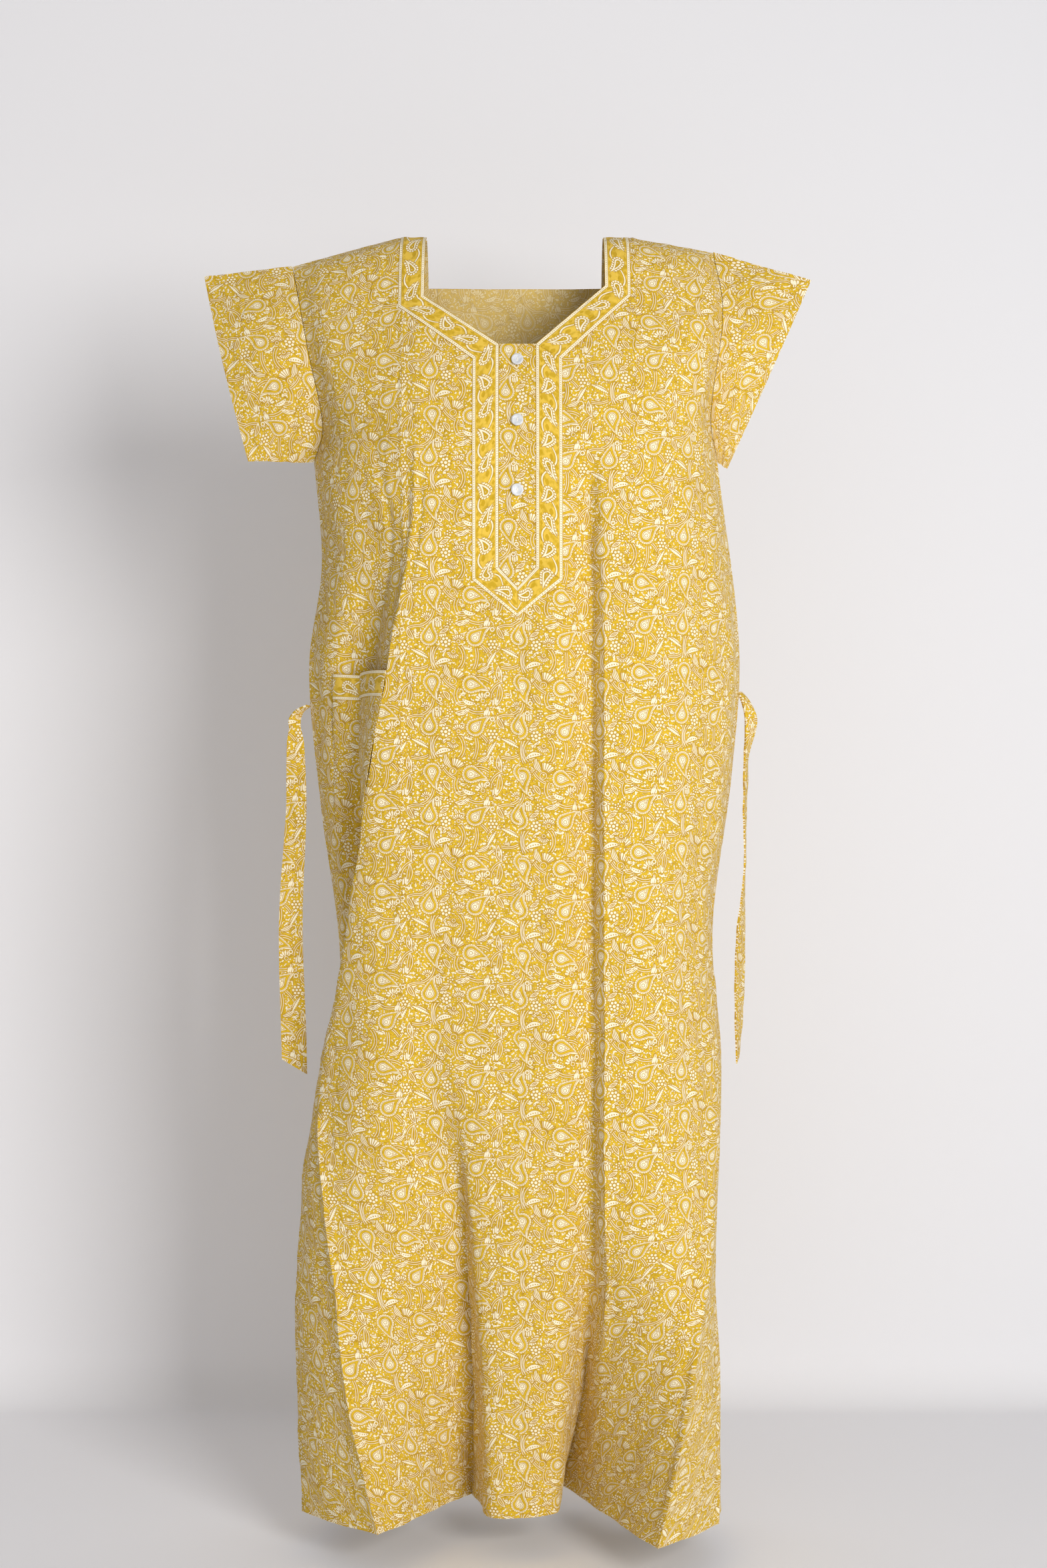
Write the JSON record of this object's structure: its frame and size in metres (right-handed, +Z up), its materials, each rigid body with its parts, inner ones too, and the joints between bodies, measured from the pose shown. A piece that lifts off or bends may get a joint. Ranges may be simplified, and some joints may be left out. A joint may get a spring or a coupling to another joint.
{
  "type": "patient gown",
  "caption": "Long short-sleeved cotton gown with a V-pointed button placket, printed neck border, patch pocket and side waist ties.",
  "frame": {"origin": "midway between the shoulders, at the height where the neckline meets the shoulder seams, where a wearer or a hanger carries the gown", "axes": "+Z up, -Y towards the gown's front, +X towards the wearer's left"},
  "size_m": [0.6481, 0.2726, 1.3581],
  "materials": {
    "cotton_print": "matte",
    "printed_border": "matte",
    "button_pearl": "gloss",
    "sewing_thread": "matte"
  },
  "bodies": {
    "gown_body": {"front_right_panel": "cotton_print", "front_left_panel": "cotton_print", "back_panel": "cotton_print", "neck_border_right": "printed_border", "neck_border_left": "printed_border", "back_neck_border": "printed_border", "placket_border_right": "printed_border", "placket_border_left": "printed_border", "placket_point_right": "printed_border", "placket_point_left": "printed_border", "pocket_border": "printed_border", "button_band_upper": "cotton_print", "button_band_under": "cotton_print", "pocket": "cotton_print"},
    "right_sleeve": {"sleeve_right": "cotton_print"},
    "left_sleeve": {"sleeve_left": "cotton_print"},
    "right_tie_fold": {"tie_right_fold": "cotton_print"},
    "right_tie": {"tie_right": "cotton_print"},
    "left_tie_fold": {"tie_left_fold": "cotton_print"},
    "left_tie": {"tie_left": "cotton_print"},
    "top_button": {"button_top": "button_pearl", "button_thread_top": "sewing_thread"},
    "middle_button": {"button_middle": "button_pearl", "button_thread_middle": "sewing_thread"},
    "bottom_button": {"button_bottom": "button_pearl", "button_thread_bottom": "sewing_thread"}
  },
  "joints": [
    {"name": "right_sleeve_swing", "type": "hinge", "parent": "gown_body", "child": "right_sleeve", "pos_m": [-0.205, -0.046, -0.12], "axis": [0, 0, 1], "range_deg": [0, 25]},
    {"name": "left_sleeve_swing", "type": "hinge", "parent": "gown_body", "child": "left_sleeve", "pos_m": [0.211, -0.046, -0.12], "axis": [0, 0, -1], "range_deg": [0, 25]},
    {"name": "right_tie_fore_aft", "type": "hinge", "parent": "gown_body", "child": "right_tie_fold", "pos_m": [-0.229, 0.006, -0.5], "axis": [1, 0, 0], "range_deg": [-70, 70]},
    {"name": "right_tie_outward", "type": "hinge", "parent": "right_tie_fold", "child": "right_tie", "pos_m": [-0.236, 0.006, -0.52], "axis": [0, 1, 0], "range_deg": [0, 60]},
    {"name": "left_tie_fore_aft", "type": "hinge", "parent": "gown_body", "child": "left_tie_fold", "pos_m": [0.247, 0.006, -0.486], "axis": [1, 0, 0], "range_deg": [-70, 70]},
    {"name": "left_tie_outward", "type": "hinge", "parent": "left_tie_fold", "child": "left_tie", "pos_m": [0.2435, 0.006, -0.55], "axis": [0, -1, 0], "range_deg": [0, 60]},
    {"name": "top_button_turn", "type": "hinge", "parent": "gown_body", "child": "top_button", "pos_m": [0.003, -0.09839, -0.14887], "axis": [0, 0.961, -0.2764], "range_deg": [-25, 25]},
    {"name": "middle_button_turn", "type": "hinge", "parent": "gown_body", "child": "middle_button", "pos_m": [0.003, -0.11319, -0.2134], "axis": [0, 0.9891, -0.1471], "range_deg": [-25, 25]},
    {"name": "bottom_button_turn", "type": "hinge", "parent": "gown_body", "child": "bottom_button", "pos_m": [0.003, -0.11661, -0.28504], "axis": [0, 0.9999, 0.0105], "range_deg": [-25, 25]}
  ]
}
